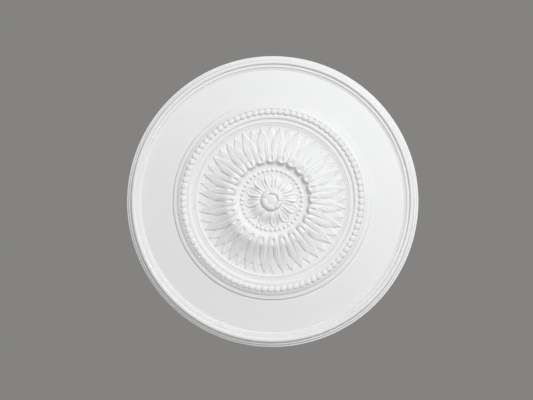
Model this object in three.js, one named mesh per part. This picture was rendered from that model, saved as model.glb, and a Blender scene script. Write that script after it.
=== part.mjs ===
import * as THREE from 'three';

// A round ceiling rose, cast in one piece: a moulded rim, a wide plain field, a ring of beads,
// a domed wreath of pointed leaves round a shallow crater, and a flower in the middle.
// Lengths are millimetres and angles are degrees. It is shaped face up, as radius from the centre
// and height above the flat back, and then turned over so that its face looks down from a ceiling.

// Rim, field and the mouldings round the bead ring
const OUTER_RADIUS = 350;
const EDGE_HEIGHT = 8.5;
const FACETS_ROUND = 88;

// Each moulding as [width, rise], going inwards
const OUTER_MOULDINGS = [
  [3.4, 0.8], // lip
  [1.3, 3.7], // riser
  [3.9, 0.9], // fillet
  [1.6, 3.4], // riser
  [5.6, 2.5], // outer half of the rim roll
  [5.4, -4.4], // inner half of the rim roll
  [6.0, 0.0], // fillet
  [7.2, -2.7], // step and cove down to the field
  [76.6, 10.0], // field, a very flat cone
  [2.6, 3.2], // riser
  [8.3, 1.6], // band
  [2.8, 2.3], // riser
  [4.5, -0.2], // fillet beside the beads
];
const INNER_MOULDINGS = [
  [1.2, 1.5], // inner side of the bead groove
  [5.4, 0.0], // fillet
  [4.6, -4.0], // step down to the sunk ring that the leaf tips lie on
];

// Ring of beads
const BEAD_COUNT = 88;
const BEAD_PHASE = 3.0;
const BEAD_RING_RADIUS = 213.2;
const BEAD_FOOT = 7.6; // half the width of the groove
const BEAD_SHOULDER = 4.4; // half the flat top, radially
const BEAD_SHOULDER_SHARE = 0.3; // half the flat top, as a share of the pitch
const BEAD_RISE = 5.2;
const BEAD_GAP_RISE = 1.8;

// Wreath: front leaves, and back leaves that show between their tips
const LEAF_COUNT = 24;
const LEAF_PHASE = 8.8;
const LEAF_PITCH = 360 / LEAF_COUNT;
const LEAF_TIP_RADIUS = 175;
const LEAF_SHOULDER_RADIUS = 120; // where a leaf reaches its full width
const LEAF_TIP_THICKNESS = 2.5;
const BACK_LEAF_DROP = [0.4, 3.0]; // under the front leaves, at the tip and at the shoulder
const LEAF_EDGE = 0.8; // width of a leaf's steep side
const TIP_RING_RADIUS = 176.4;
const TIP_RING_HEIGHT = 25.6;
const TIP_ROUNDING = 1;
const CREST_RADIUS = 102;
const CREST_SKEW = 0.74; // less than one to make the fall steepest near the crest
const CREST_HEIGHT = 45.5;
const POINT_POWER = 1.5; // how full a leaf is between its tip and its shoulder
const BORDER = LEAF_PITCH / 2;
// Front and back leaves are equally wide here, so this is where the gaps between their tips end
const VALLEY_RADIUS = THREE.MathUtils.lerp(
  LEAF_TIP_RADIUS, LEAF_SHOULDER_RADIUS, 1 - 0.5 ** (1 / POINT_POWER),
);
const TIP_STATION = 0.52; // from the tips to the valleys
const OVERLAP_STATIONS = [0.3, 0.64, 0.96]; // from the valleys to the shoulder

// Leaf ribs, and the eyes between neighbouring leaves
const RIB_GROOVE_DEPTH = 2.4;
const RIB_GROOVE_END_RADIUS = 146;
const RIB_LIP = 1.3;
const EYE_RADIUS = 101;
const EYE_HALF_LENGTH = 8.8;
const EYE_HALF_WIDTH = 4.0;
const EYE_END_OPENNESS = 0.25;
const EYE_DEPTH = 4.2;
const EYE_STATIONS = [1, 0.4, -0.6]; // along the eye, from its outer end
const COLLAR_RISE = 1.0;

// Crater inside the wreath
const CRATER_LOBE_RADIUS = 89.5; // inner end of the collar round each eye
const CRATER_NOTCH_RADIUS = 94.5; // between two collars
const CRATER_FOOT_RADIUS = 85.5;
const CRATER_FLOOR_HEIGHT = 35.5;
// Fall from the crest at the notch, beside it, on the lobe and at its middle
const SCALLOP_FALLS = [5.0, 2.6, 1.6, 1.4];
const SCALLOP_STATIONS = [0, 0.22, 0.6, 1];
const WREATH_FACETS = 4 * LEAF_COUNT;

// Small beads
const PEARL_COUNT = 40;
const PEARL_PHASE = 7.3;
const PEARL_RING_RADIUS = 71.8;
const PEARL_FOOT = 4.6;
const PEARL_SHOULDER = 2.2;
const PEARL_SHOULDER_SHARE = 0.24;
const PEARL_RISE = 3.2;
const PEARL_GAP_RISE = 0.4;

// Flower
const PETAL_COUNT = 12;
const PETAL_PHASE = 7.0;
const PETAL_PITCH = 360 / PETAL_COUNT;
const PETAL_TIP_RADIUS = 66.5;
const PETAL_SHOULDER_RADIUS = 48;
const PETAL_POINT_POWER = 1.8;
const PETAL_ROOT_RADIUS = 30.5;
const PETAL_TIP_RISE = 1.8;
const PETAL_CREST_RADIUS = 36.6;
const PETAL_CREST_HEIGHT = 44.8;
const PETAL_ROOT_HEIGHT = 43.8;
const PETAL_VALLEY_DEPTH = 4.4;
const PETAL_HOLLOW = 0.8;
const PETAL_EDGE = 0.5;
const PETAL_VALLEY_WIDTH = 3.0;
const PETAL_BORDER = PETAL_PITCH / 2;
const PETAL_TIP_STATION = 0.42; // from the tip to the shoulder
const PETAL_STATIONS = [0, 0.5, 0.92]; // from the shoulder to the root

// Boss in the middle of the flower, with rounded lobes round a shallow dish
const LOBE_COUNT = 6;
const LOBE_PHASE = 18.5;
const BOSS_FOOT_RADIUS = 27.0;
const BOSS_RADIUS = 25.6;
const BOSS_CREST_RADIUS = 18.4;
const BOSS_FOOT_HEIGHT = 40.6;
const BOSS_EDGE_HEIGHT = 46.2;
const BOSS_CREST_HEIGHT = 50.0;
const BOSS_NOTCH_DEPTH = 2.0;
const LOBE_SHOULDER_SHARE = 0.72;
const LOBE_SHOULDER_DROP = 0.3;
const DISH_RADIUS = 11.5; // in front of a lobe
const DISH_CORNER = 1.8; // how much further it reaches at a notch
const DISH_HEIGHT = 46.4;
const DISH_LIP_WIDTH = 1.6;
const DISH_LIP_DROP = 0.9;
const DISH_CENTRE_HEIGHT = 48.8;

const COLOUR = 0xf0efed;

const radians = THREE.MathUtils.degToRad;
const mix = THREE.MathUtils.lerp;
const clamp = THREE.MathUtils.clamp;

// Angle in degrees that a length spans at a radius
function spanAngle(length, radius) {
  return THREE.MathUtils.radToDeg(length / radius);
}

// Mesh under construction: points that fall together are one vertex
const vertices = [];
const triangles = [];
const vertexAt = new Map();

function vertex(angle, radius, height) {
  const x = radius * Math.cos(radians(angle));
  const y = radius * Math.sin(radians(angle));
  const key = [x, y, height].map((value) => Math.round(value * 1000)).join();
  if (!vertexAt.has(key)) {
    vertexAt.set(key, vertices.length);
    vertices.push(new THREE.Vector3(x, y, height));
  }
  return vertexAt.get(key);
}

function triangle(a, b, c) {
  if (a !== b && b !== c && c !== a) triangles.push(a, b, c);
}

function gap(a, b) {
  return vertices[a].distanceTo(vertices[b]);
}

// A ring of vertices: one repeat of [angle, radius, height] columns, set out all the way round
function ring(count, phase, columns) {
  const out = [];
  for (let k = 0; k < count; k += 1) {
    for (const [angle, radius, height] of columns) {
      out.push(vertex(phase + (k * 360) / count + angle, radius, height));
    }
  }
  return out;
}

function plainRing(count, radius, height, phase = 0) {
  return ring(count, phase, [[0, radius, height]]);
}

// One half of a repeat, from its middle to its border, becomes the whole repeat
function mirrored(half) {
  const left = half.slice(1).reverse().map(([angle, radius, height]) => [-angle, radius, height]);
  return [...left, ...half.slice(0, -1)];
}

// Faces between two rings that have the same columns, split along the shorter diagonal
function band(outer, inner) {
  outer.forEach((a, k) => {
    const b = outer[(k + 1) % outer.length];
    const c = inner[(k + 1) % inner.length];
    const d = inner[k];
    if (gap(a, c) < gap(b, d)) {
      triangle(a, b, c);
      triangle(a, c, d);
    } else {
      triangle(a, b, d);
      triangle(b, c, d);
    }
  });
}

// Faces between two rings with different counts: each step takes the shorter new edge
function stitch(outer, inner) {
  const distances = inner.map((v) => gap(outer[0], v));
  const start = distances.indexOf(Math.min(...distances));
  const outerAt = (k) => outer[k % outer.length];
  const innerAt = (k) => inner[(start + k) % inner.length];
  let i = 0;
  let j = 0;
  while (i < outer.length || j < inner.length) {
    const outerStep = gap(outerAt(i + 1), innerAt(j));
    const innerStep = gap(outerAt(i), innerAt(j + 1));
    if (j === inner.length || (i < outer.length && outerStep < innerStep)) {
      triangle(outerAt(i), outerAt(i + 1), innerAt(j));
      i += 1;
    } else {
      triangle(outerAt(i), innerAt(j + 1), innerAt(j));
      j += 1;
    }
  }
}

// Joins a row of rings, whatever their counts, and gives back the last one
function join(...rings) {
  rings.reduce((outer, inner) => {
    (outer.length === inner.length ? band : stitch)(outer, inner);
    return inner;
  });
  return rings.at(-1);
}

// Walks [width, rise] mouldings inwards and makes one ring at each corner
function mouldingRings(startRadius, startHeight, mouldings) {
  const rings = [];
  let radius = startRadius;
  let height = startHeight;
  for (const [width, rise] of mouldings) {
    radius -= width;
    height += rise;
    rings.push(plainRing(FACETS_ROUND, radius, height));
  }
  return { rings, height };
}

// A ring of beads with flat tops, from its outer foot to its inner foot
function beadRings(count, phase, radius, foot, shoulder, share, floor, rise, gapRise) {
  const pitch = 360 / count;
  const footRing = (r) => ring(count, phase, [
    [-pitch / 2, r, floor],
    [-pitch / 2, r, floor],
    [pitch / 2, r, floor],
  ]);
  const topRing = (r) => ring(count, phase, [
    [-pitch / 2, r, floor + gapRise],
    [-pitch * share, r, floor + rise],
    [pitch * share, r, floor + rise],
  ]);
  return [
    footRing(radius + foot),
    topRing(radius + shoulder),
    topRing(radius - shoulder),
    footRing(radius - foot),
  ];
}

// Half width of a pointed leaf or petal, as an angle: sharp at the tip and full at the shoulder
function pointedHalfAngle(radius, tip, shoulder, full, power) {
  const share = clamp((tip - radius) / (tip - shoulder), 0, 1);
  return full * (1 - (1 - share) ** power);
}

// Top of the front leaves: steep beside the crest of the wreath and flat at the tips
function leafTop(radius) {
  const share = clamp((radius - CREST_RADIUS) / (LEAF_TIP_RADIUS - CREST_RADIUS), 0, 1);
  const rise = (1 + Math.cos(Math.PI * share ** CREST_SKEW)) / 2;
  return mix(TIP_RING_HEIGHT + LEAF_TIP_THICKNESS, CREST_HEIGHT, rise);
}

function backLeafTop(radius) {
  const share = (LEAF_TIP_RADIUS - radius) / (LEAF_TIP_RADIUS - LEAF_SHOULDER_RADIUS);
  return leafTop(radius) - mix(...BACK_LEAF_DROP, clamp(share, 0, 1));
}

// The groove along a leaf's rib fades out towards the tip
function ribFloor(radius) {
  const share = (RIB_GROOVE_END_RADIUS - radius) / (RIB_GROOVE_END_RADIUS - CREST_RADIUS);
  return leafTop(radius) - RIB_GROOVE_DEPTH * clamp(share, 0, 1);
}

// One ring across the wreath. Half a leaf has the same columns in every ring:
// rib, rib lip, middle, front edge top, front edge foot, back edge foot, back edge top, border.
function leafRing(rib, lip, middle, edgeTop, edgeFoot, backFoot, backTop, border) {
  const half = [rib, lip, middle, edgeTop, edgeFoot, backFoot, backTop, border];
  return ring(LEAF_COUNT, LEAF_PHASE, mirrored(half));
}

function leafWidth(radius) {
  return pointedHalfAngle(radius, LEAF_TIP_RADIUS, LEAF_SHOULDER_RADIUS, BORDER, POINT_POWER);
}

// At the tips the sunk ring shows between front and back leaves
function tipRing(radius) {
  const front = [0, radius, leafTop(radius)];
  const floor = [BORDER / 2, radius, TIP_RING_HEIGHT];
  const back = [BORDER, radius, backLeafTop(radius)];
  return leafRing(front, front, front, front, floor, floor, back, back);
}

function openRing(radius) {
  const width = leafWidth(radius);
  const edge = spanAngle(LEAF_EDGE, radius);
  const middle = [0, radius, leafTop(radius)];
  const edgeTop = [width - edge, radius, leafTop(radius)];
  const edgeFoot = [width + edge, radius, TIP_RING_HEIGHT];
  const backFoot = [BORDER - width - edge, radius, TIP_RING_HEIGHT];
  const backTop = [BORDER - width + edge, radius, backLeafTop(radius)];
  const border = [BORDER, radius, backLeafTop(radius)];
  return leafRing(middle, middle, middle, edgeTop, edgeFoot, backFoot, backTop, border);
}

// Where front and back leaves touch, at the bottom of the gap between their tips
function valleyRing(radius) {
  const edge = spanAngle(LEAF_EDGE, radius);
  const middle = [0, radius, leafTop(radius)];
  const edgeTop = [BORDER / 2 - edge, radius, leafTop(radius)];
  const floor = [BORDER / 2, radius, TIP_RING_HEIGHT];
  const backTop = [BORDER / 2 + edge, radius, backLeafTop(radius)];
  const border = [BORDER, radius, backLeafTop(radius)];
  return leafRing(middle, middle, middle, edgeTop, floor, floor, backTop, border);
}

// Further in, each front leaf lies over its neighbours behind
function overlapRing(radius) {
  const width = leafWidth(radius);
  const edge = spanAngle(LEAF_EDGE, radius);
  const rib = [0, radius, ribFloor(radius)];
  const middle = [width / 2, radius, leafTop(radius)];
  const edgeTop = [width - edge, radius, leafTop(radius)];
  const back = [Math.min(width + edge, BORDER), radius, backLeafTop(radius)];
  const border = [BORDER, radius, backLeafTop(radius)];
  return leafRing(rib, rib, middle, edgeTop, back, back, back, border);
}

// Across the eyes: a groove on the rib, a rounded lobe, a collar and the hollow on the border
function eyeRing(radius) {
  const along = (radius - EYE_RADIUS) / EYE_HALF_LENGTH;
  const openness = Math.max(Math.sqrt(Math.max(1 - along * along, 0)), EYE_END_OPENNESS);
  const lip = spanAngle(RIB_LIP, radius);
  const eye = BORDER - spanAngle(EYE_HALF_WIDTH * openness, radius);
  const rib = [0, radius, ribFloor(radius)];
  const ribLip = [lip, radius, leafTop(radius) - RIB_LIP / 3];
  const middle = [(lip + eye) / 2, radius, leafTop(radius) + COLLAR_RISE / 2];
  const collar = [eye, radius, leafTop(radius) + COLLAR_RISE];
  const hollow = [BORDER, radius, leafTop(radius) - EYE_DEPTH * openness];
  return leafRing(rib, ribLip, middle, collar, hollow, hollow, hollow, hollow);
}

// The scalloped edge of the crater: collars reach in, with notches on the ribs
function scallopRing() {
  const [notch, lip, middle, end] = SCALLOP_STATIONS.map((share, k) => {
    const reach = Math.sin((share * Math.PI) / 2);
    return [
      BORDER * share,
      mix(CRATER_NOTCH_RADIUS, CRATER_LOBE_RADIUS, reach),
      CREST_HEIGHT - SCALLOP_FALLS[k],
    ];
  });
  return leafRing(notch, lip, middle, end, end, end, end, end);
}

function wreathRings() {
  return [
    tipRing(LEAF_TIP_RADIUS - TIP_ROUNDING),
    openRing(mix(LEAF_TIP_RADIUS, VALLEY_RADIUS, TIP_STATION)),
    valleyRing(VALLEY_RADIUS),
    ...OVERLAP_STATIONS.map((share) => overlapRing(mix(VALLEY_RADIUS, LEAF_SHOULDER_RADIUS, share))),
    ...EYE_STATIONS.map((share) => eyeRing(EYE_RADIUS + EYE_HALF_LENGTH * share)),
    scallopRing(),
  ];
}

// Half a petal has the same columns in every ring: middle, edge top, edge foot, border
function petalRing(middle, edgeTop, edgeFoot, border) {
  return ring(PETAL_COUNT, PETAL_PHASE, mirrored([middle, edgeTop, edgeFoot, border]));
}

// Petals rise from the root to a crest and fall to the tip
function petalTop(radius) {
  if (radius < PETAL_CREST_RADIUS) {
    const share = (PETAL_CREST_RADIUS - radius) / (PETAL_CREST_RADIUS - PETAL_ROOT_RADIUS);
    return mix(PETAL_CREST_HEIGHT, PETAL_ROOT_HEIGHT, share ** 2);
  }
  const share = (radius - PETAL_CREST_RADIUS) / (PETAL_TIP_RADIUS - PETAL_CREST_RADIUS);
  const fall = (1 - Math.cos(Math.PI * share)) / 2;
  return mix(PETAL_CREST_HEIGHT, CRATER_FLOOR_HEIGHT + PETAL_TIP_RISE, fall);
}

function petalRings() {
  const floor = CRATER_FLOOR_HEIGHT;
  const tip = [0, PETAL_TIP_RADIUS, petalTop(PETAL_TIP_RADIUS)];
  const besideTip = [PETAL_BORDER / 2, PETAL_TIP_RADIUS, floor];
  const betweenTips = [PETAL_BORDER, PETAL_TIP_RADIUS, floor];
  const rings = [petalRing(tip, tip, besideTip, betweenTips)];
  const open = mix(PETAL_TIP_RADIUS, PETAL_SHOULDER_RADIUS, PETAL_TIP_STATION);
  const width = pointedHalfAngle(
    open, PETAL_TIP_RADIUS, PETAL_SHOULDER_RADIUS, PETAL_BORDER, PETAL_POINT_POWER,
  );
  const edge = spanAngle(PETAL_EDGE, open);
  rings.push(petalRing(
    [0, open, petalTop(open) - PETAL_HOLLOW],
    [width - edge, open, petalTop(open)],
    [width + edge, open, floor],
    [PETAL_BORDER, open, floor],
  ));
  for (const share of PETAL_STATIONS) {
    const radius = mix(PETAL_SHOULDER_RADIUS, PETAL_ROOT_RADIUS, share);
    const rim = PETAL_BORDER - spanAngle(PETAL_VALLEY_WIDTH / 2, radius);
    const valley = [PETAL_BORDER, radius, petalTop(radius) - PETAL_VALLEY_DEPTH * (1 - share / 2)];
    rings.push(petalRing(
      [0, radius, petalTop(radius) - PETAL_HOLLOW],
      [rim, radius, petalTop(radius)],
      valley,
      valley,
    ));
  }
  return rings;
}

// Half a lobe of the boss, from its crown to the notch beside it
function bossRing(radius, height, notchDepth, corner) {
  const half = 180 / LOBE_COUNT;
  return ring(LOBE_COUNT, LOBE_PHASE, mirrored([
    [0, radius, height],
    [
      half * LOBE_SHOULDER_SHARE,
      radius + corner * LOBE_SHOULDER_DROP,
      height - notchDepth * LOBE_SHOULDER_DROP,
    ],
    [half, radius + corner, height - notchDepth],
  ]));
}

function bossRings() {
  return [
    bossRing(BOSS_FOOT_RADIUS, BOSS_FOOT_HEIGHT, 0, 0),
    bossRing(BOSS_RADIUS, BOSS_EDGE_HEIGHT, BOSS_NOTCH_DEPTH, 0),
    bossRing(BOSS_CREST_RADIUS, BOSS_CREST_HEIGHT, BOSS_NOTCH_DEPTH, 0),
    bossRing(
      DISH_RADIUS + DISH_LIP_WIDTH, BOSS_CREST_HEIGHT - DISH_LIP_DROP, BOSS_NOTCH_DEPTH, DISH_CORNER,
    ),
    bossRing(DISH_RADIUS, DISH_HEIGHT, 0, DISH_CORNER),
  ];
}

function cap(rim, centre) {
  rim.forEach((a, k) => triangle(a, rim[(k + 1) % rim.length], centre));
}

function faceSide(edge) {
  const outer = mouldingRings(OUTER_RADIUS, EDGE_HEIGHT, OUTER_MOULDINGS);
  const beads = beadRings(
    BEAD_COUNT, BEAD_PHASE, BEAD_RING_RADIUS, BEAD_FOOT, BEAD_SHOULDER, BEAD_SHOULDER_SHARE,
    outer.height, BEAD_RISE, BEAD_GAP_RISE,
  );
  const inner = mouldingRings(BEAD_RING_RADIUS - BEAD_FOOT, outer.height, INNER_MOULDINGS);
  const pearls = beadRings(
    PEARL_COUNT, PEARL_PHASE, PEARL_RING_RADIUS, PEARL_FOOT, PEARL_SHOULDER, PEARL_SHOULDER_SHARE,
    CRATER_FLOOR_HEIGHT, PEARL_RISE, PEARL_GAP_RISE,
  );
  const unique = (rings) => [...new Set(rings)];
  join(edge, ...outer.rings, unique(beads[0]));
  join(...beads);
  join(unique(beads[3]), ...inner.rings);
  const tipFoot = plainRing(WREATH_FACETS, TIP_RING_RADIUS, TIP_RING_HEIGHT, LEAF_PHASE);
  const wreath = wreathRings();
  join(inner.rings.at(-1), tipFoot, unique(wreath[0]));
  join(...wreath);
  const craterFoot = plainRing(WREATH_FACETS, CRATER_FOOT_RADIUS, CRATER_FLOOR_HEIGHT, LEAF_PHASE);
  join(unique(wreath.at(-1)), craterFoot, unique(pearls[0]));
  join(...pearls);
  const petals = petalRings();
  join(unique(pearls[3]), unique(petals[0]));
  join(...petals);
  const boss = bossRings();
  join(unique(petals.at(-1)), ...boss);
  cap(boss.at(-1), vertex(0, 0, DISH_CENTRE_HEIGHT));
}

// The flat back ends in one triangle round the centre, where the rose is fixed
function backSide(edge) {
  const last = join(
    edge.toReversed(),
    plainRing(FACETS_ROUND / 4, OUTER_RADIUS / 2, 0).reverse(),
    plainRing(3, OUTER_RADIUS / 5, 0).reverse(),
  );
  triangle(...last);
}

function roseGeometry() {
  const edge = plainRing(FACETS_ROUND, OUTER_RADIUS, 0);
  const lip = plainRing(FACETS_ROUND, OUTER_RADIUS, EDGE_HEIGHT);
  backSide(edge);
  join(edge, lip);
  faceSide(lip);
  const geometry = new THREE.BufferGeometry().setFromPoints(vertices);
  geometry.setIndex(triangles);
  geometry.computeVertexNormals();
  return geometry;
}

const casting = new THREE.MeshStandardMaterial({ color: COLOUR, roughness: 0.6, metalness: 0 });
const rose = new THREE.Mesh(roseGeometry(), casting);
rose.name = 'ceiling_rose';
rose.rotation.x = Math.PI;

const part = new THREE.Group();
part.add(rose);

export default part;
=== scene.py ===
import math

import bmesh
import bpy
import numpy as np
from mathutils import Matrix, Vector


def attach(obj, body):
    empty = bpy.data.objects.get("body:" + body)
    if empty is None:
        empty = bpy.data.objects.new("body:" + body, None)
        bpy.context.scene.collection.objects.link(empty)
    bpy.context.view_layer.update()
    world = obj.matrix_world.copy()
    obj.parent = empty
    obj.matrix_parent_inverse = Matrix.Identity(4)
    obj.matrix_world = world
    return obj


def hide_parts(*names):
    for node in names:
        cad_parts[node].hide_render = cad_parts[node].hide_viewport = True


# A round ceiling rose, cast in one piece and painted with matt white primer, seen from below.
# Lengths are millimetres and angles are degrees until the mesh is made, which is in metres.
# It is shaped face up, as radius from the centre and height above the flat back, and then
# turned over so that its face looks down from a ceiling. Leaves, petals and lobes are each
# described by one half, from the middle to the border with the next.

MM = 0.001

# Rim, field and the mouldings round the bead ring
OUTER_RADIUS = 350.0
EDGE_HEIGHT = 8.5
COLUMNS_ROUND = 240
BACK_RING_SHARES = (0.66, 0.33)  # rings of points on the flat back, as shares of its radius

# Each moulding as (width, rise, bulge), going inwards. The bulge is how far the middle stands
# out from the straight line, as a share of that line's length.
MOULDINGS = [
    (3.5, 0.5, 0.12),  # lip
    (1.6, 4.4, 0.0),  # riser
    (3.5, 0.8, 0.05),  # fillet
    (1.6, 3.4, 0.0),  # riser
    (5.6, 2.8, 0.16),  # outer half of the rim roll
    (3.6, -1.0, 0.14),  # inner half of the rim roll
    (1.8, -3.0, 0.0),  # steep inner side
    (1.0, -1.3, 0.0),  # outer side of a quirk
    (1.1, 1.1, 0.0),  # inner side of the quirk
    (3.9, -0.1, 0.0),  # fillet
    (1.1, -2.5, 0.0),  # step down
    (0.5, 0.7, 0.0),  # quirk
    (2.4, -1.2, 0.0),  # narrow sloping fillet
    (0.5, 0.6, 0.0),  # quirk
    (3.0, -1.1, 0.0),  # second sloping fillet
    (0.5, 0.1, 0.0),  # edge of the field
    (75.8, 10.0, 0.0),  # field, a very flat cone
    (2.6, 3.2, 0.0),  # riser
    (5.3, 0.9, 0.0),  # band
    (3.0, 0.7, 0.0),  # foot of the second riser
    (2.8, 2.3, 0.0),  # second riser
    (5.2, 2.2, 0.0),  # slope up to the beads
    (0.5, -2.4, 0.0),  # outer side of the bead groove
    (14.5, 0.0, 0.0),  # floor of the bead groove
    (1.2, 0.8, 0.0),  # up to a fillet
    (4.0, 0.1, 0.05),  # fillet
    (2.2, -0.4, 0.0),  # edge of the step
    (3.0, -2.6, 0.0),  # step down
    (2.7, -0.1, 0.0),  # foot of the step
    (4.9, 0.3, 0.0),  # rim of the sunk ring that the leaf tips lie on
    (1.7, -2.3, 0.0),  # outer side of a thin groove
    (1.8, 2.1, 0.0),  # inner side of the thin groove
    (7.2, -1.9, -0.03),  # sunk ring, out to the leaf tips
]
CORNER = 0.35  # how near to its ends a moulding has extra points, so that its corners stay crisp
CORNER_LIMIT = 0.25  # the most that this may be, as a share of the moulding's length
SHORT = 1.6  # a flat moulding under this length has one extra point instead
CURVE_STEP = 1.5  # length of the straight pieces of a curved moulding
FEWEST_PIECES = 3

# Ring of beads, each the upper half of an egg shape
BEAD_COUNT = 88
BEAD_PHASE = 3.0
BEAD_RING_RADIUS = 213.2
BEAD_HALF_WIDTH = 7.5
BEAD_SHARE = 1.22  # length as a share of the spacing, over one because neighbours run together
BEAD_FLOOR_HEIGHT = 29.6
BEAD_RISE = 4.4
BEAD_SQUARENESS = 0.8  # one for an egg shape, less for steeper sides and a flatter top
BEAD_SINK = 0.4  # how far the foot of a bead lies below the floor that it stands on
BEAD_COLUMNS = 12
BEAD_ROWS = 5

# Wreath: front leaves, and back leaves that show between their tips
LEAF_COUNT = 24
LEAF_PHASE = 8.8
BORDER = 180.0 / LEAF_COUNT
LEAF_TIP_RADIUS = 175.0
LEAF_SHOULDER_RADIUS = 120.0
LEAF_TIP_THICKNESS = 2.5
LEAF_POINT_POWER = 1.5
LEAF_LENGTH = LEAF_TIP_RADIUS - LEAF_SHOULDER_RADIUS
# Outside this radius the sunk ring shows between a front leaf and the back leaf beside it
VALLEY_RADIUS = LEAF_TIP_RADIUS - LEAF_LENGTH * (1 - 0.5 ** (1 / LEAF_POINT_POWER))
# How far the line between two front leaves lies below them, at each radius
VALLEY_DEPTHS = [
    (112, 0.0), (115.5, 0.7), (118.5, 2.6), (121.5, 3.7), (127, 3.5), (136, 2.4), (150, 1.2), (164, 0.5),
    (LEAF_TIP_RADIUS, 0.3),
]
LEAF_EDGE = 1.2  # half the width of the slope at a leaf's edge
LEAF_CREASE = 0.12  # least distance between two columns at the foot of that slope
LEAF_BULGE = 0.4  # how far a leaf swells up between its rib and its side
LEAF_SIDE_FALL = 0.5  # how far a leaf falls from its rib to its side, as a share of its bulge
LEAF_ROUNDING = 0.3  # how far a leaf's side is rounded over
LEAF_ROUNDING_START = 0.8  # where that starts, as a share of the way to the side
BACK_LEAF_RISE = 0.12  # how far the rib of a back leaf stands up
TIP_RING_HEIGHT = 25.6
CREST_RADIUS = 103.0
CREST_HEIGHT = 45.5
WREATH_FALL = CREST_HEIGHT - TIP_RING_HEIGHT - LEAF_TIP_THICKNESS
# How steep the wreath is at each radius, against its steepest place
LEAF_SLOPES = [
    (CREST_RADIUS - 1, 0.0), (107, 0.38), (112, 0.8), (117, 0.97), (121, 1.0), (127, 0.96), (136, 0.8),
    (146, 0.6), (156, 0.48), (161, 0.32), (166, 0.08), (170, -0.08), (LEAF_TIP_RADIUS, -0.14),
]
PROFILE_INSIDE = 20.0  # how far inside the crest the profile starts
PROFILE_SAMPLES = 400
PROFILE_RADII = np.linspace(CREST_RADIUS - PROFILE_INSIDE, LEAF_TIP_RADIUS, PROFILE_SAMPLES)
PROFILE_FALL = np.cumsum(np.interp(PROFILE_RADII, *zip(*LEAF_SLOPES)))
PROFILE_HEIGHTS = CREST_HEIGHT - PROFILE_FALL / PROFILE_FALL[-1] * WREATH_FALL

# Eyes between the feet of neighbouring leaves, with a collar round each
EYE_RADIUS = 101.0
EYE_HALF_LENGTH = 8.8
EYE_HALF_WIDTH = 3.5
EYE_OUTER_RADIUS = EYE_RADIUS + EYE_HALF_LENGTH
EYE_SKEW = 0.35  # nought for an oval eye, more for one that is blunt inside and pointed outside
EYE_DEPTH = 3.7
EYE_SIDE_DEPTH = 0.5  # depth at the foot of an eye's side, as a share of its depth in the middle
NECK_HALF_WIDTH = 1.6  # least half width of the gap between two front leaves
COLLAR_RADIUS = EYE_RADIUS - 1.0
COLLAR_HALF_LENGTH = EYE_HALF_LENGTH + 1.5
COLLAR_HALF_WIDTH = EYE_HALF_WIDTH + 1.2
COLLAR_CREST = 1.05  # where a collar is highest, against its own half length and half width
COLLAR_RISE = 1.3
COLLAR_WIDTH = 0.26

# Rib groove along each front leaf, veins beside it, and uneven streaks over all leaves
RIB_GROOVE_DEPTH = 2.4
RIB_GROOVE_END_RADIUS = 150.0
RIB_GROOVE_HALF_WIDTH = 2.8
VEIN_COUNT = 3  # on each side of the rib
VEIN_DEPTH = 0.5
VEIN_FADE_IN = 12.0
VEIN_FADE_OUT = 20.0
VEIN_END_RADIUS = LEAF_TIP_RADIUS - 6.0
VEIN_SLANT_START_RADIUS = 126.0
VEIN_SLANT_RADIUS = 132.0
VEIN_SLANT_LENGTH = 26.0  # length along the leaf in which the veins shift by their own spacing
STREAK_RISE = 0.21  # how far the uneven streaks along the leaves stand up or sink
STREAK_HOLD = 0.86  # how much of a streak carries on from one ring of points to the next
STREAK_FADE_IN = 12.0
STREAK_FADE_OUT = 10.0
STREAK_SEED = 4

# Crater inside the wreath. Its scalloped edge has a lobe at each eye and a notch at each rib.
EDGE_ROUNDING = 4.0  # width of the rounding just outside the edge
SCALLOP_POWER = 0.8
CRATER_LOBE_RADIUS = 89.5
CRATER_NOTCH_RADIUS = 94.5
LOBE_FALL = 1.6  # how far the rounding falls at the lobes
NOTCH_FALL = 2.4  # how far it falls at the notches
LOBE_FALL_START = 0.5  # where it falls as at the lobes, as a share of the way to the border
CRATER_FOOT_RADIUS = 84.0
CRATER_FLOOR_HEIGHT = 35.5
CRATER_FOOT_RISE = 0.6  # how far the floor rises towards the foot of the crater's side
CRATER_SIDE_POWER = 1.4
CRATER_SIDE_EASE = 0.5  # nought for a straight side, one for a side that eases in and out

# Columns of points across half a leaf, and rings of points down the wreath
FRONT_SHARES = np.array([0, 0.05, 0.1, 0.16, 0.23, 0.3, 0.37, 0.44, 0.51, 0.58, 0.65, 0.72, 0.8, 0.9, 1])
BACK_SHARES = np.array([0, 0.33, 0.66, 1])
FRONT = slice(0, len(FRONT_SHARES))
FOOT = FRONT.stop
FAR_FOOT = FOOT + 1
BACK = slice(FAR_FOOT + 1, FAR_FOOT + 1 + len(BACK_SHARES))
HALF_COLUMNS = BACK.stop
FRONT_END = 0.75
GAP_START = 0.78
GAP_SHARES = np.linspace(GAP_START, 1, HALF_COLUMNS - len(FRONT_SHARES))
# Where each column meets the crater's edge, as a share of the way from the rib to the border
COLUMN_SHARES = np.concatenate([FRONT_SHARES * FRONT_END, GAP_SHARES])
OPEN_RINGS = 14
OVERLAP_RINGS = 24
EDGE_RINGS = 19
CRATER_RINGS = 6

# Small beads
PEARL_COUNT = 40
PEARL_PHASE = 7.3
PEARL_RING_RADIUS = 71.8
PEARL_HALF_WIDTH = 4.6
PEARL_SHARE = 0.84
PEARL_RISE = 3.2

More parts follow.
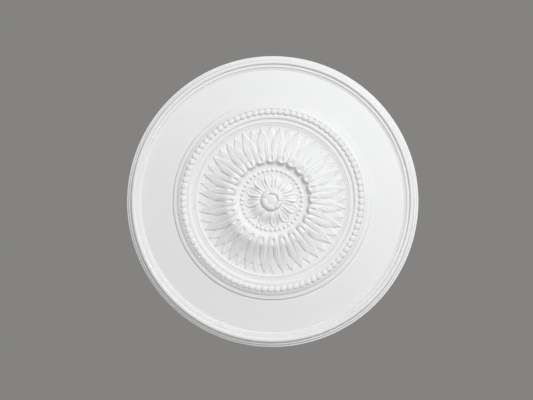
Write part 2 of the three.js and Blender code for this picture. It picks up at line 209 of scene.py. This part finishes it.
# Flower
PETAL_COUNT = 12
PETAL_PHASE = 7.0
PETAL_BORDER = 180.0 / PETAL_COUNT
PETAL_TIP_RADIUS = 66.5
PETAL_SHOULDER_RADIUS = 48.0
PETAL_POINT_POWER = 1.8
PETAL_ROOT_RADIUS = 30.5
PETAL_ROOT_HEIGHT = 43.8
PETAL_CREST_RADIUS = 36.6
PETAL_CREST_HEIGHT = 44.8
PETAL_TIP_RISE = 1.8
PETAL_TIP_FADE = 8.0
PETAL_FALL_END = 65.0
PETAL_VALLEY_DEPTH = 6.4
PETAL_VALLEY_WIDTH = 4.6
PETAL_ROOT_SHALLOWING = 0.75  # how much of the valleys' depth is lost at the petals' roots
PETAL_OPEN_RADIUS = PETAL_SHOULDER_RADIUS - 4.0
PETAL_OPEN_LENGTH = 6.0  # length over which a valley runs out onto the crater's floor
PETAL_EDGE = 0.4
PETAL_CREASE = 0.04  # least distance between two columns in a valley
PETAL_HOLLOW = 1.8  # how far a petal is hollowed between its raised sides
PETAL_HOLLOW_END = 0.55
PETAL_HOLLOW_FADE = 0.4
PETAL_RIB_COUNT = 3
PETAL_RIB_RISE = 0.35
PETAL_ROUNDING = 0.5
PETAL_ROUNDING_START = 0.85
PETAL_SHARES = np.array([0, 0.1, 0.2, 0.32, 0.44, 0.56, 0.68, 0.78, 0.87, 0.94, 1])
PETAL_RINGS = 30
FLOWER_MARGIN = 0.8  # how far outside the petals' tips the crater's floor starts

# Boss in the middle of the flower, with rounded lobes round a shallow dish
LOBE_COUNT = 6
LOBE_PHASE = 18.5
LOBE_SHARES = np.linspace(0, 1, 15)
BOSS_FOOT_RADIUS = 27.0
BOSS_FOOT_HEIGHT = 41.4
BOSS_RADIUS = 25.6
BOSS_EDGE_HEIGHT = 46.2
BOSS_CREST_RADIUS = 18.4
BOSS_CREST_HEIGHT = 50.0
BOSS_NOTCH_DEPTH = 2.0
BOSS_NOTCH_SHARPNESS = 5
DISH_RADIUS = 13.0
DISH_CORNER = 1.8  # how much farther out the dish reaches at the notches than at the lobes
DISH_CORNER_BALANCE = 0.3  # the share of that by which it draws in at the lobes
DISH_HEIGHT = 46.4
DISH_CENTRE_HEIGHT = 48.8

# Mesh: points nearer than this become one, and edges sharper than this are shaded as corners
MERGE_DISTANCE = 0.002
SHARP_ANGLE = 42.0

# Primer: slow changes of tone, fine specks, uneven gloss and a slight grain
CLOUD_SCALE = 14.0
SPECK_SCALE = 260.0
GRAIN_SCALE = 900.0
TONE_RAMP = [(0.35, (0.782, 0.782, 0.78, 1)), (0.68, (0.798, 0.798, 0.796, 1))]
SPECK_RAMP = [(0.3, (0.977, 0.977, 0.977, 1)), (0.6, (1, 1, 1, 1))]
GLOSS_RANGE = (0.5, 0.66)
GRAIN_STRENGTH = 0.12
GRAIN_HEIGHT = 0.4

# Photograph: its size, how many millimetres one pixel spans, and where the rose's centre is
PHOTO_SIZE = (533, 400)
MM_PER_PIXEL = 2.407
CENTRE_PIXEL = (272.5, 201.0)
CAMERA_AZIMUTH = -65.0
CAMERA_TILT = 4.3
SENSOR_WIDTH = 36.0

# Studio, in metres
CAMERA_DISTANCE = 4.5
FARTHEST_SEEN = 60.0
FLOOR_HEIGHT = -5.3
FLOOR_HALF_SIZE = 12.0
FLOOR_COLOUR = (0.8, 0.79, 0.77, 1)
FLOOR_ROUGHNESS = 0.9
LAMP_COLOUR = (0.968, 0.981, 1.0)
WORLD_COLOUR = (0.2307, 0.2270, 0.2195, 1)

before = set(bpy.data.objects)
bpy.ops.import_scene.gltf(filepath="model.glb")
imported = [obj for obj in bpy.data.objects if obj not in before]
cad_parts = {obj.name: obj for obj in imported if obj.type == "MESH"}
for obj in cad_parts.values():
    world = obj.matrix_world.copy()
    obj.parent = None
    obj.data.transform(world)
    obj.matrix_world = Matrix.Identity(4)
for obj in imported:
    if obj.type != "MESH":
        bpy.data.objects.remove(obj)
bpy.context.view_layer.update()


def mix(a, b, share):
    return a + (b - a) * share


def smooth(share):
    """From nought to one, easing in and out."""
    share = np.clip(share, 0, 1)
    return share * share * (3 - 2 * share)


def span(length, radius):
    """The angle that a length spans at a radius."""
    return np.degrees(length / radius)


class Surface:
    """Points in the face frame and the faces between them."""

    def __init__(self):
        self.points = []
        self.faces = []

    def loop(self, places, angles):
        """A closed loop of points, anticlockwise: their numbers, and the angle of each."""
        start = len(self.points)
        self.points.extend(places)
        return np.arange(start, start + len(places)), angles

    def ring(self, angles, radii, heights):
        """A loop round the middle of the rose."""
        angles, radii, heights = np.broadcast_arrays(angles, radii, heights)
        turn = np.radians(angles)
        return self.loop(np.stack([radii * np.cos(turn), radii * np.sin(turn), heights], 1), angles)

    def plain_ring(self, radius, height):
        return self.ring(np.arange(COLUMNS_ROUND) * 360 / COLUMNS_ROUND, radius, height)

    def band(self, outer, inner):
        """Four-sided faces between two loops with the same columns."""
        a, d = outer[0], inner[0]
        self.faces.extend(zip(a, np.roll(a, -1), np.roll(d, -1), d))

    def stitch(self, outer, inner):
        """Triangles between two rings with different columns, in the order of their angles."""
        (a, a_turn), (d, d_turn) = outer, inner
        start = int(np.argmin(np.abs((d_turn - a_turn[0] + 180) % 360 - 180)))
        d = np.roll(d, -start)
        d_turn = np.roll(d_turn, -start)
        lead = (d_turn[0] - a_turn[0] + 180) % 360 - 180
        a_walk = np.append((a_turn - a_turn[0]) % 360, 360)
        d_walk = np.append((d_turn - d_turn[0]) % 360, 360) + lead
        i = j = 0
        while i < len(a) or j < len(d):
            outer_step = i < len(a) and (j == len(d) or a_walk[i + 1] <= d_walk[j + 1])
            here_a, here_d = a[i % len(a)], d[j % len(d)]
            if outer_step:
                i += 1
                self.faces.append((here_a, a[i % len(a)], here_d))
            else:
                j += 1
                self.faces.append((here_a, d[j % len(d)], here_d))

    def join(self, loops):
        """Faces between each loop and the next one inwards."""
        for outer, inner in zip(loops, loops[1:]):
            if len(outer[0]) == len(inner[0]):
                self.band(outer, inner)
            else:
                self.stitch(outer, inner)

    def fan(self, loop, centre):
        """Triangles from a loop to one point inside it."""
        top = len(self.points)
        self.points.append(np.array(centre, float))
        self.faces.extend((p, q, top) for p, q in zip(loop[0], np.roll(loop[0], -1)))


def arc(start, end, bulge):
    """Points after start, up to end, along a round arc that stands out by its bulge."""
    chord = end - start
    length = math.hypot(*chord)
    if bulge == 0:
        if length < SHORT:
            return [start + chord * 0.5, end]
        near = min(CORNER / length, CORNER_LIMIT)
        return [start + chord * along for along in (near, 1 - near, 1)]
    outward = np.array([chord[1], -chord[0]])
    half = 2 * math.atan(2 * abs(bulge))
    pieces = max(round(length / CURVE_STEP), FEWEST_PIECES)
    out = []
    for turn in np.linspace(-half, half, pieces + 1)[1:]:
        along = 0.5 + math.sin(turn) / (2 * math.sin(half))
        off = math.copysign((math.cos(turn) - math.cos(half)) / (2 * math.sin(half)), bulge)
        out.append(start + chord * along + outward * off)
    return out


def moulding_rings(surface):
    place = np.array([OUTER_RADIUS, EDGE_HEIGHT])
    rings = [surface.plain_ring(*place)]
    for width, rise, bulge in MOULDINGS:
        end = place + (-width, rise)
        rings += [surface.plain_ring(*point) for point in arc(place, end, bulge)]
        place = end
    return rings


def beads(surface, count, phase, radius, half_width, share, floor, rise):
    """A ring of separate beads that stand on a floor."""
    half_length = share * math.pi * radius / count
    around = np.radians(np.arange(BEAD_COLUMNS) * 360 / BEAD_COLUMNS)
    up = np.array([0, 0, 1])
    for turn in np.radians(phase + np.arange(count) * 360 / count):
        out = np.array([math.cos(turn), math.sin(turn), 0])
        along = np.array([-math.sin(turn), math.cos(turn), 0])
        middle = out * radius + up * floor
        loops = []
        for lift in np.radians(np.arange(BEAD_ROWS) * 90 / BEAD_ROWS):
            spread = math.cos(lift) ** BEAD_SQUARENESS
            height = (rise + BEAD_SINK) * math.sin(lift) ** BEAD_SQUARENESS - BEAD_SINK
            across = np.outer(np.cos(around) * half_width * spread, out)
            lengthwise = np.outer(np.sin(around) * half_length * spread, along)
            loops.append(surface.loop(middle + up * height + across + lengthwise, around))
        surface.join(loops)
        surface.fan(loops[-1], middle + up * rise)


def whole(count, phase, half_angles, radii, heights):
    """Half a repeat, from its middle to its border, is mirrored and set out all the way round."""
    starts = phase + np.arange(count) * 360 / count
    angles = np.concatenate([-half_angles[::-1], half_angles[1:-1]])
    turned = (starts[:, None] + angles[None]).ravel()
    spread = []
    for values in (radii, heights):
        values = np.broadcast_to(values, len(half_angles))
        spread.append(np.tile(np.concatenate([values[::-1], values[1:-1]]), count))
    return turned, *spread


def pointed(radius, tip, shoulder, full, power):
    """Half width of a pointed leaf or petal, as an angle."""
    share = np.clip((tip - radius) / (tip - shoulder), 0, 1)
    return full * (1 - (1 - share) ** power)


def leaf_top(radius):
    """Top of the front leaves: the slopes add up to the fall from the crest to the tips."""
    return np.interp(radius, PROFILE_RADII, PROFILE_HEIGHTS)


def eye_openness(radius):
    """The eye's half width as a share: blunt at its inner end, pointed at its outer end."""
    along = np.clip((radius - EYE_RADIUS) / EYE_HALF_LENGTH, -1, 1)
    return np.sqrt(1 - along * along) * (1 - EYE_SKEW * along)


def hollow_depth(radius):
    """How far the surface between two front leaves lies below them."""
    return np.maximum(np.interp(radius, *zip(*VALLEY_DEPTHS)), EYE_DEPTH * eye_openness(radius))


def leaf_half(radius):
    """Angles and heights across half a leaf, from its rib to the border with the next leaf."""
    radius = np.broadcast_to(radius, HALF_COLUMNS)
    edge = span(LEAF_EDGE, radius)
    crease = span(LEAF_CREASE, radius)
    hollow = np.maximum(NECK_HALF_WIDTH, EYE_HALF_WIDTH * eye_openness(radius))
    width = pointed(radius, LEAF_TIP_RADIUS, LEAF_SHOULDER_RADIUS, BORDER, LEAF_POINT_POWER)
    width = np.minimum(width, BORDER - span(hollow, radius))
    inside = np.maximum(width - edge, 0)
    open_gap = radius > VALLEY_RADIUS
    angles = np.empty(HALF_COLUMNS)
    angles[FRONT] = FRONT_SHARES * inside[FRONT]
    foot = np.where(open_gap, width + edge, np.minimum(width + edge, BORDER - 3 * crease))
    far_foot = np.where(open_gap, np.maximum(BORDER - width - edge, foot + crease), foot + crease)
    back_start = np.where(open_gap, BORDER - inside, far_foot + crease)
    angles[FOOT] = foot[FOOT]
    angles[FAR_FOOT] = far_foot[FAR_FOOT]
    angles[BACK] = mix(back_start[BACK], BORDER, BACK_SHARES)
    top = leaf_top(radius)
    depth = hollow_depth(radius)
    in_eye = 1 - smooth((radius - EYE_RADIUS) / EYE_HALF_LENGTH)
    floor = np.where(open_gap, TIP_RING_HEIGHT, top - depth * mix(1, EYE_SIDE_DEPTH, in_eye))
    bowl = mix(1, mix(EYE_SIDE_DEPTH, 1, np.sin(BACK_SHARES * math.pi / 2)), in_eye[BACK])
    heights = np.empty(HALF_COLUMNS)
    heights[FRONT] = top[FRONT] + front_relief(radius[FRONT], angles[FRONT])
    heights[FOOT : FAR_FOOT + 1] = floor[FOOT : FAR_FOOT + 1]
    heights[BACK] = (top - depth)[BACK] + (1 - bowl) * depth[BACK]
    heights[BACK] += BACK_LEAF_RISE * BACK_SHARES * (1 - in_eye[BACK])
    return angles, heights


def front_relief(radius, angles):
    """Rib groove, swelling, veins and the collar round the eye, over the leaf's plain top."""
    share = FRONT_SHARES
    across = np.radians(angles) * radius
    groove = smooth((RIB_GROOVE_END_RADIUS - radius) / (RIB_GROOVE_END_RADIUS - CREST_RADIUS))
    relief = -RIB_GROOVE_DEPTH * groove * np.exp(-((across / RIB_GROOVE_HALF_WIDTH) ** 2))
    full = smooth((LEAF_TIP_RADIUS - radius) / (LEAF_TIP_RADIUS - VALLEY_RADIUS))
    relief += LEAF_BULGE * full * (np.sin(math.pi * share) - LEAF_SIDE_FALL * share)
    relief -= LEAF_ROUNDING * full * smooth((share - LEAF_ROUNDING_START) / (1 - LEAF_ROUNDING_START))
    fade = smooth((radius - EYE_RADIUS) / VEIN_FADE_IN)
    fade *= smooth((VEIN_END_RADIUS - radius) / VEIN_FADE_OUT)
    slant = (radius - VEIN_SLANT_RADIUS) / VEIN_SLANT_LENGTH
    slant *= smooth((radius - VEIN_SLANT_START_RADIUS) / VEIN_FADE_IN)
    veins = np.cos(2 * math.pi * (VEIN_COUNT * share + slant)) * np.sqrt(np.sin(math.pi * share))
    relief += VEIN_DEPTH * fade * veins
    from_border = math.radians(BORDER) * radius - across
    out = (radius - COLLAR_RADIUS) / COLLAR_HALF_LENGTH
    from_eye = np.hypot(out, from_border / COLLAR_HALF_WIDTH)
    relief += COLLAR_RISE * np.exp(-(((from_eye - COLLAR_CREST) / COLLAR_WIDTH) ** 2))
    return relief


def scalloped(share):
    """Radius of the crater's edge: it reaches in at the collars and back at the ribs."""
    reach = np.sin(share * math.pi / 2) ** SCALLOP_POWER
    return mix(CRATER_NOTCH_RADIUS, CRATER_LOBE_RADIUS, reach)


def streak_rows():
    """Heights of the leaves' uneven streaks, one ring of points after another, going inwards."""
    source = np.random.default_rng(STREAK_SEED)
    columns = LEAF_COUNT * 2 * (HALF_COLUMNS - 1)
    row = source.normal(0, 1, columns)
    while True:
        yield row * STREAK_RISE
        row = STREAK_HOLD * row + math.sqrt(1 - STREAK_HOLD**2) * source.normal(0, 1, columns)


def wreath_rings(surface):
    """The leaves, the crater's scalloped edge and the crater's side."""
    rings = []
    streaks = streak_rows()

    def add(radii, half_angles, half_heights):
        angles, radii, heights = whole(LEAF_COUNT, LEAF_PHASE, half_angles, radii, half_heights)
        on_leaf = smooth((heights - TIP_RING_HEIGHT) / LEAF_TIP_THICKNESS)
        on_leaf *= smooth((radii - CREST_RADIUS) / STREAK_FADE_IN)
        on_leaf *= smooth((LEAF_TIP_RADIUS - radii) / STREAK_FADE_OUT)
        rings.append(surface.ring(angles, radii, heights + next(streaks) * on_leaf))

    open_radii = np.linspace(LEAF_TIP_RADIUS, VALLEY_RADIUS, OPEN_RINGS)[:-1]
    overlap_radii = np.linspace(VALLEY_RADIUS, EYE_OUTER_RADIUS, OVERLAP_RINGS)
    for radius in np.concatenate([open_radii, overlap_radii]):
        add(radius, *leaf_half(radius))
    edge_radius = scalloped(COLUMN_SHARES)
    fall = mix(NOTCH_FALL, LOBE_FALL, smooth(COLUMN_SHARES / LOBE_FALL_START))
    for step in np.linspace(0, 1, EDGE_RINGS)[1:]:
        radius = mix(EYE_OUTER_RADIUS, edge_radius, step)
        angles, heights = leaf_half(radius)
        into_edge = np.clip(1 - (radius - edge_radius) / EDGE_ROUNDING, 0, 1)
        edge_height = heights - fall * (1 - np.sqrt(1 - into_edge**2))
        add(radius, angles, edge_height)
    for step in np.linspace(0, 1, CRATER_RINGS)[1:]:
        radius = mix(edge_radius, CRATER_FOOT_RADIUS, step**CRATER_SIDE_POWER)
        down = mix(step, smooth(step), CRATER_SIDE_EASE)
        add(radius, angles, mix(edge_height, CRATER_FLOOR_HEIGHT + CRATER_FOOT_RISE, down))
    return rings


def petal_top(radius):
    if radius < PETAL_CREST_RADIUS:
        share = (PETAL_CREST_RADIUS - radius) / (PETAL_CREST_RADIUS - PETAL_ROOT_RADIUS)
        return mix(PETAL_CREST_HEIGHT, PETAL_ROOT_HEIGHT, share**2)
    share = min((radius - PETAL_CREST_RADIUS) / (PETAL_FALL_END - PETAL_CREST_RADIUS), 1)
    tip_height = CRATER_FLOOR_HEIGHT + PETAL_TIP_RISE
    return mix(PETAL_CREST_HEIGHT, tip_height, (1 - math.cos(math.pi * share)) / 2)


def petal_valley(radius):
    """Height between two petals: the valley runs out onto the crater's floor."""
    root = (PETAL_SHOULDER_RADIUS - radius) / (PETAL_SHOULDER_RADIUS - PETAL_ROOT_RADIUS)
    depth = PETAL_VALLEY_DEPTH * (1 - PETAL_ROOT_SHALLOWING * np.clip(root, 0, 1))
    open_share = smooth((radius - PETAL_OPEN_RADIUS) / PETAL_OPEN_LENGTH)
    return mix(petal_top(radius) - depth, CRATER_FLOOR_HEIGHT, open_share)


def petal_relief(radius):
    """Hollow, ribs and rounded edge across a petal, over its plain top."""
    full = smooth((PETAL_TIP_RADIUS - radius) / PETAL_TIP_FADE)
    hollow = PETAL_HOLLOW * full * (1 - smooth((PETAL_SHARES - PETAL_HOLLOW_END) / PETAL_HOLLOW_FADE))
    ribs = PETAL_RIB_RISE * full * np.cos(math.pi * PETAL_RIB_COUNT * PETAL_SHARES)
    into_edge = (PETAL_SHARES - PETAL_ROUNDING_START) / (1 - PETAL_ROUNDING_START)
    return ribs * (into_edge < 0) - hollow - PETAL_ROUNDING * smooth(into_edge)


def petal_half(radius):
    """Angles and heights across half a petal, from its middle to the border with the next."""
    edge = span(PETAL_EDGE, radius)
    width = pointed(radius, PETAL_TIP_RADIUS, PETAL_SHOULDER_RADIUS, PETAL_BORDER, PETAL_POINT_POWER)
    width = min(width, PETAL_BORDER - span(PETAL_VALLEY_WIDTH / 2, radius))
    foot = min(width + edge, PETAL_BORDER - 2 * span(PETAL_CREASE, radius))
    front = PETAL_SHARES * max(width - edge, 0)
    valley = petal_valley(radius)
    angles = np.concatenate([front, [foot, (foot + PETAL_BORDER) / 2, PETAL_BORDER]])
    return angles, np.concatenate([petal_top(radius) + petal_relief(radius), [valley, valley, valley]])


def petal_rings(surface):
    rings = []
    for radius in np.linspace(PETAL_TIP_RADIUS, PETAL_ROOT_RADIUS, PETAL_RINGS):
        angles, heights = petal_half(radius)
        rings.append(surface.ring(*whole(PETAL_COUNT, PETAL_PHASE, angles, radius, heights)))
    return rings


def boss_rings(surface):
    """Rounded lobes on a steep-sided disc, with a shallow dish in the middle."""
    # Each ring as (radius, height, how much of the notches' depth cuts into it)
    profile = [
        (BOSS_FOOT_RADIUS, BOSS_FOOT_HEIGHT, 0),  # foot
        (BOSS_RADIUS + 0.6, mix(BOSS_FOOT_HEIGHT, BOSS_EDGE_HEIGHT, 0.5), 0.3),  # side
        (BOSS_RADIUS, BOSS_EDGE_HEIGHT, 0.8),  # top of the side
        (BOSS_RADIUS - 1.2, BOSS_EDGE_HEIGHT + 1.4, 1),  # outer rounding of the lobes
        (BOSS_RADIUS - 3.2, BOSS_EDGE_HEIGHT + 2.5, 1),
        (BOSS_CREST_RADIUS + 1.2, BOSS_CREST_HEIGHT - 0.1, 1),  # crest of the lobes
        (BOSS_CREST_RADIUS - 1.2, BOSS_CREST_HEIGHT, 1),
        (BOSS_CREST_RADIUS - 3.4, BOSS_CREST_HEIGHT - 0.3, 1),
        (DISH_RADIUS + 1.4, BOSS_CREST_HEIGHT - 0.9, 1),  # inner rounding of the lobes
        (DISH_RADIUS + 0.5, DISH_HEIGHT + 0.6, 0.6),  # side of the dish
        (DISH_RADIUS, DISH_HEIGHT, 0),  # rim of the dish's floor
        (DISH_RADIUS * 0.75, mix(DISH_HEIGHT, DISH_CENTRE_HEIGHT, 0.45), 0),
        (DISH_RADIUS * 0.4, mix(DISH_HEIGHT, DISH_CENTRE_HEIGHT, 0.85), 0),
    ]
    angles = 180 / LOBE_COUNT * LOBE_SHARES
    notch = BOSS_NOTCH_DEPTH * LOBE_SHARES**BOSS_NOTCH_SHARPNESS
    corner = DISH_CORNER * (LOBE_SHARES**2 - DISH_CORNER_BALANCE)
    rings = []
    for radius, height, share in profile:
        near_dish = smooth(1 - (radius - DISH_RADIUS) / (BOSS_CREST_RADIUS - DISH_RADIUS))
        radii = radius + corner * near_dish * (radius >= DISH_RADIUS)
        rings.append(surface.ring(*whole(LOBE_COUNT, LOBE_PHASE, angles, radii, height - share * notch)))
    return rings


def shape_casting(surface):
    """The closed surface of the casting, with the beads standing on it."""
    edge = surface.plain_ring(OUTER_RADIUS, 0)
    back = [edge] + [surface.plain_ring(OUTER_RADIUS * share, 0) for share in BACK_RING_SHARES]
    rings = [edge] + moulding_rings(surface) + wreath_rings(surface)
    rings.append(surface.plain_ring(PEARL_RING_RADIUS + PEARL_HALF_WIDTH, CRATER_FLOOR_HEIGHT))
    rings.append(surface.plain_ring(PETAL_TIP_RADIUS + FLOWER_MARGIN, CRATER_FLOOR_HEIGHT))
    rings += petal_rings(surface) + boss_rings(surface)
    surface.join(rings)
    surface.fan(rings[-1], (0, 0, DISH_CENTRE_HEIGHT))
    back = [(numbers[::-1], angles[::-1]) for numbers, angles in back]
    surface.join(back)
    surface.fan(back[-1], (0, 0, 0))
    beads(surface, BEAD_COUNT, BEAD_PHASE, BEAD_RING_RADIUS, BEAD_HALF_WIDTH, BEAD_SHARE,
          BEAD_FLOOR_HEIGHT, BEAD_RISE)
    beads(surface, PEARL_COUNT, PEARL_PHASE, PEARL_RING_RADIUS, PEARL_HALF_WIDTH, PEARL_SHARE,
          CRATER_FLOOR_HEIGHT, PEARL_RISE)


def add_to_scene(name, data):
    made = bpy.data.objects.new(name, data)
    bpy.context.scene.collection.objects.link(made)
    return made


def make_casting():
    surface = Surface()
    shape_casting(surface)
    points = np.array(surface.points) * MM * (1, -1, -1)
    mesh = bpy.data.meshes.new("rose_casting")
    mesh.from_pydata(points.tolist(), [], [tuple(int(i) for i in face) for face in surface.faces])
    shape = bmesh.new()
    shape.from_mesh(mesh)
    bmesh.ops.remove_doubles(shape, verts=shape.verts, dist=MERGE_DISTANCE * MM)
    shape.to_mesh(mesh)
    shape.free()
    mesh.shade_smooth()
    mesh.set_sharp_from_angle(angle=math.radians(SHARP_ANGLE))
    return add_to_scene("rose_casting", mesh)


def node(tree, kind, place, **inputs):
    made = tree.nodes.new(kind)
    made.location = place
    for name, value in inputs.items():
        made.inputs[name.replace("_", " ")].default_value = value
    return made


def ramp(tree, place, stops):
    made = node(tree, "ShaderNodeValToRGB", place)
    for element, (position, colour) in zip(made.color_ramp.elements, stops):
        element.position = position
        element.color = colour
    return made


def primer_material():
    material = bpy.data.materials.new("white_primer")
    material.use_nodes = True
    tree = material.node_tree
    tree.nodes.clear()
    place = node(tree, "ShaderNodeTexCoord", (-1200, 0))
    cloud = node(tree, "ShaderNodeTexNoise", (-900, 300), Scale=CLOUD_SCALE, Detail=4.0, Roughness=0.6)
    speck = node(tree, "ShaderNodeTexNoise", (-900, 0), Scale=SPECK_SCALE, Detail=3.0, Roughness=0.7)
    grain = node(tree, "ShaderNodeTexNoise", (-900, -300), Scale=GRAIN_SCALE, Detail=2.0, Roughness=0.6)
    for texture in (cloud, speck, grain):
        tree.links.new(place.outputs["Object"], texture.inputs["Vector"])
    tone = ramp(tree, (-600, 300), TONE_RAMP)
    fine = ramp(tree, (-600, 0), SPECK_RAMP)
    colour = node(tree, "ShaderNodeMix", (-300, 200))
    colour.data_type = "RGBA"
    colour.blend_type = "MULTIPLY"
    colour.inputs["Factor"].default_value = 1.0
    gloss = node(tree, "ShaderNodeMapRange", (-300, -50), To_Min=GLOSS_RANGE[0], To_Max=GLOSS_RANGE[1])
    bump = node(tree, "ShaderNodeBump", (-300, -300), Strength=GRAIN_STRENGTH, Distance=GRAIN_HEIGHT * MM)
    shader = node(tree, "ShaderNodeBsdfPrincipled", (0, 100))
    output = node(tree, "ShaderNodeOutputMaterial", (300, 100))
    tree.links.new(cloud.outputs["Fac"], tone.inputs["Fac"])
    tree.links.new(speck.outputs["Fac"], fine.inputs["Fac"])
    tree.links.new(tone.outputs["Color"], colour.inputs["A"])
    tree.links.new(fine.outputs["Color"], colour.inputs["B"])
    tree.links.new(colour.outputs["Result"], shader.inputs["Base Color"])
    tree.links.new(speck.outputs["Fac"], gloss.inputs["Value"])
    tree.links.new(gloss.outputs["Result"], shader.inputs["Roughness"])
    tree.links.new(grain.outputs["Fac"], bump.inputs["Height"])
    tree.links.new(bump.outputs["Normal"], shader.inputs["Normal"])
    tree.links.new(shader.outputs["BSDF"], output.inputs["Surface"])
    return material


def floor_material():
    material = bpy.data.materials.new("floor_paint")
    material.use_nodes = True
    shader = material.node_tree.nodes["Principled BSDF"]
    shader.inputs["Base Color"].default_value = FLOOR_COLOUR
    shader.inputs["Roughness"].default_value = FLOOR_ROUGHNESS
    return material


def face_direction(azimuth, lean):
    """A direction out of the face. The azimuth runs anticlockwise from the photograph's right."""
    turn, tilt = math.radians(azimuth), math.radians(lean)
    return Vector((math.cos(turn) * math.sin(tilt), -math.sin(turn) * math.sin(tilt), -math.cos(tilt)))


def area_light(name, azimuth, lean, distance, size, watts):
    lamp = bpy.data.lights.new(name, "AREA")
    lamp.shape = "DISK"
    lamp.size = size
    lamp.energy = watts
    lamp.color = LAMP_COLOUR
    light = add_to_scene(name, lamp)
    direction = face_direction(azimuth, lean)
    light.location = direction * distance
    light.rotation_mode = "QUATERNION"
    light.rotation_quaternion = direction.to_track_quat("Z", "Y")
    light.visible_camera = False
    return light


def make_camera():
    lens = bpy.data.cameras.new("camera")
    width, height = PHOTO_SIZE
    lens.sensor_width = SENSOR_WIDTH
    lens.lens = SENSOR_WIDTH * CAMERA_DISTANCE / (width * MM_PER_PIXEL * MM)
    lens.shift_x = (width / 2 - CENTRE_PIXEL[0]) / width
    lens.shift_y = (CENTRE_PIXEL[1] - height / 2) / width
    lens.clip_end = FARTHEST_SEEN
    camera = add_to_scene("camera", lens)
    direction = face_direction(CAMERA_AZIMUTH, CAMERA_TILT)
    right = Vector((0, -1, 0)).cross(direction).normalized()
    turned = Matrix((right, direction.cross(right), direction)).transposed()
    camera.location = direction * CAMERA_DISTANCE
    camera.rotation_mode = "QUATERNION"
    camera.rotation_quaternion = turned.to_quaternion()
    bpy.context.scene.camera = camera
    return camera


def make_floor():
    mesh = bpy.data.meshes.new("floor")
    shape = bmesh.new()
    bmesh.ops.create_grid(shape, x_segments=1, y_segments=1, size=FLOOR_HALF_SIZE)
    shape.to_mesh(mesh)
    shape.free()
    mesh.transform(Matrix.Translation((0, 0, FLOOR_HEIGHT)))
    mesh.materials.append(floor_material())
    floor = add_to_scene("floor", mesh)
    return floor


def make_studio():
    """Lights, the world behind the rose, and plain colours without a film look."""
    area_light("key", azimuth=50, lean=42, distance=6.4, size=1.6, watts=276)
    area_light("fill", azimuth=-90, lean=5, distance=4.4, size=3.0, watts=50)
    area_light("top", azimuth=0, lean=180, distance=3.4, size=2.5, watts=90)
    world = bpy.data.worlds.new("studio")
    world.use_nodes = True
    background = world.node_tree.nodes["Background"]
    background.inputs["Color"].default_value = WORLD_COLOUR
    background.inputs["Strength"].default_value = 1.0
    bpy.context.scene.world = world
    bpy.context.scene.view_settings.view_transform = "Standard"
    bpy.context.scene.view_settings.look = "None"


make_camera()

casting = make_casting()
casting.data.materials.append(primer_material())
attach(casting, "root")
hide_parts("ceiling_rose")

make_floor()
make_studio()
